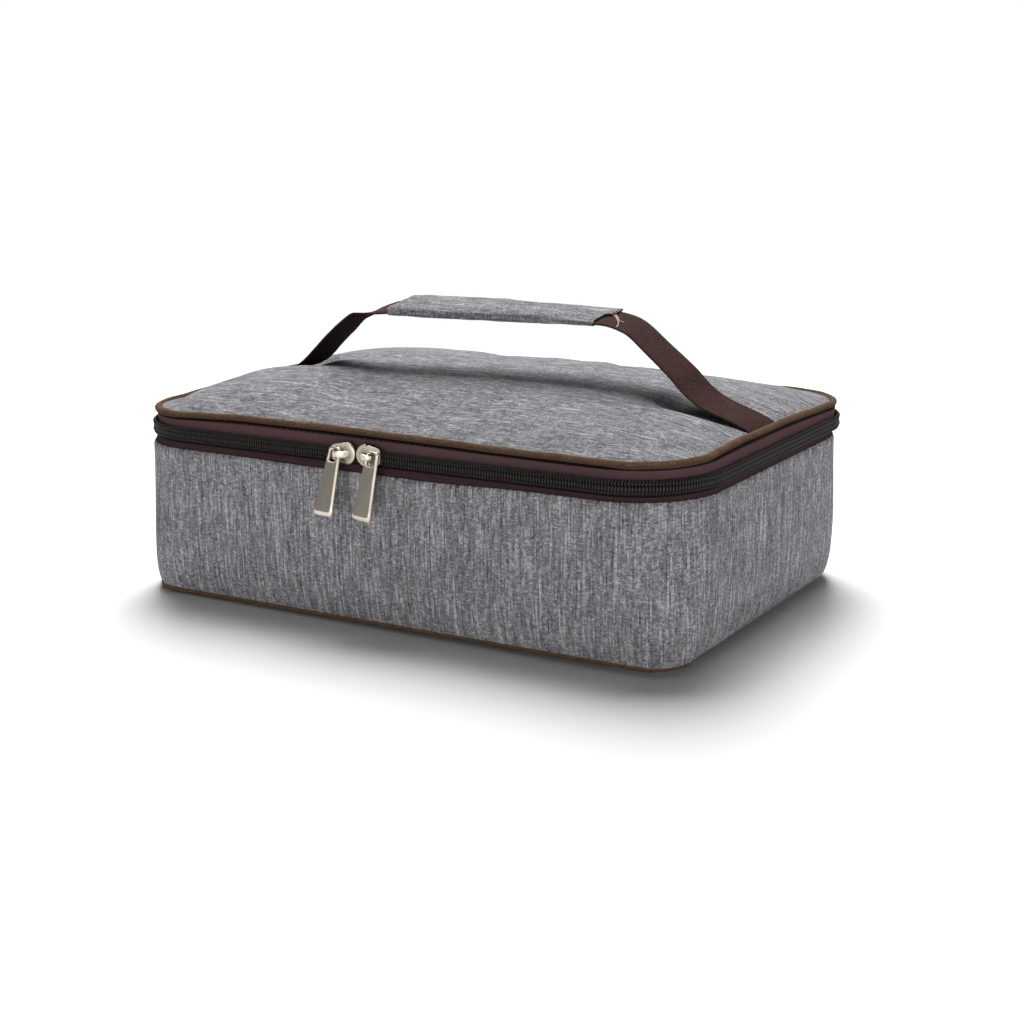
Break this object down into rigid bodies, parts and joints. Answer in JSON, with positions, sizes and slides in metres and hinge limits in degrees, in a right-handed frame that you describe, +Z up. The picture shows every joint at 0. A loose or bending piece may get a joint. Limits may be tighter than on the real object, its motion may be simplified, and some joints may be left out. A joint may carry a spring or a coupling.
{
  "type": "insulated cooler bag",
  "caption": "Soft insulated cooler bag in grey melange cloth with brown piping, a padded lid on a cloth hinge, a coil zip round the rim and a webbing carry handle.",
  "frame": {"origin": "middle of the flat underside that the bag rests on", "axes": "+X to the bag's right seen from the front, +Y from the front to the hinged rear, +Z up"},
  "size_m": [0.27, 0.1931, 0.1241],
  "materials": {
    "cloth": "grey melange woven polyester",
    "foam": "white closed-cell foam",
    "film": "silver foil-faced film",
    "piping": "brown corded piping",
    "tape": "dark brown woven tape",
    "webbing": "dark brown woven webbing",
    "coil": "black nylon coil",
    "nickel": "warm nickel plate"
  },
  "bodies": {
    "tub": {"wall_cloth": "cloth", "wall_foam": "foam", "wall_liner": "film", "floor_cloth": "cloth", "floor_foam": "foam", "floor_liner": "film", "foot_piping": "piping", "rim_binding": "tape", "lower_zip_tape": "tape", "lower_zip_coil": "coil", "zip_stop_left": "coil", "zip_stop_right": "coil", "rear_hinge_strip": "tape"},
    "lid": {"lid_cloth": "cloth", "lid_foam": "foam", "lid_liner": "film", "lid_piping": "piping", "lid_binding": "tape", "upper_zip_tape": "tape", "upper_zip_coil": "coil", "handle_webbing": "webbing"},
    "handle": {"grip_sleeve": "cloth", "grip_core": "foam"},
    "left_slider": {"slider_left": "nickel"},
    "left_pull": {"pull_left": "nickel"},
    "right_slider": {"slider_right": "nickel"},
    "right_pull": {"pull_right": "nickel"}
  },
  "joints": [
    {"name": "lid_hinge", "type": "hinge", "parent": "tub", "child": "lid", "pos_m": [0, 0.09415, 0.0734], "axis": [-1, 0, 0], "range_deg": [0, 180], "deforming": ["rear_hinge_strip"]},
    {"name": "handle_swing", "type": "hinge", "parent": "lid", "child": "handle", "pos_m": [0, -0.007, 0.088], "axis": [1, 0, 0], "range_deg": [-45, 45], "stiffness_Nm_per_rad": 0.05, "deforming": ["handle_webbing"]},
    {"name": "left_slider_run", "type": "slide", "parent": "tub", "child": "left_slider", "axis": [-1, 0, 0], "range_m": [0, 0.079]},
    {"name": "right_slider_run", "type": "slide", "parent": "tub", "child": "right_slider", "axis": [1, 0, 0], "range_m": [0, 0.094]},
    {"name": "left_pull_swing", "type": "hinge", "parent": "left_slider", "child": "left_pull", "pos_m": [-0.0167, -0.0968, 0.0734], "axis": [0, 1, 0], "range_deg": [-14, 76]},
    {"name": "right_pull_swing", "type": "hinge", "parent": "right_slider", "child": "right_pull", "pos_m": [0.0017, -0.0968, 0.0734], "axis": [0, -1, 0], "range_deg": [0, 90]}
  ]
}
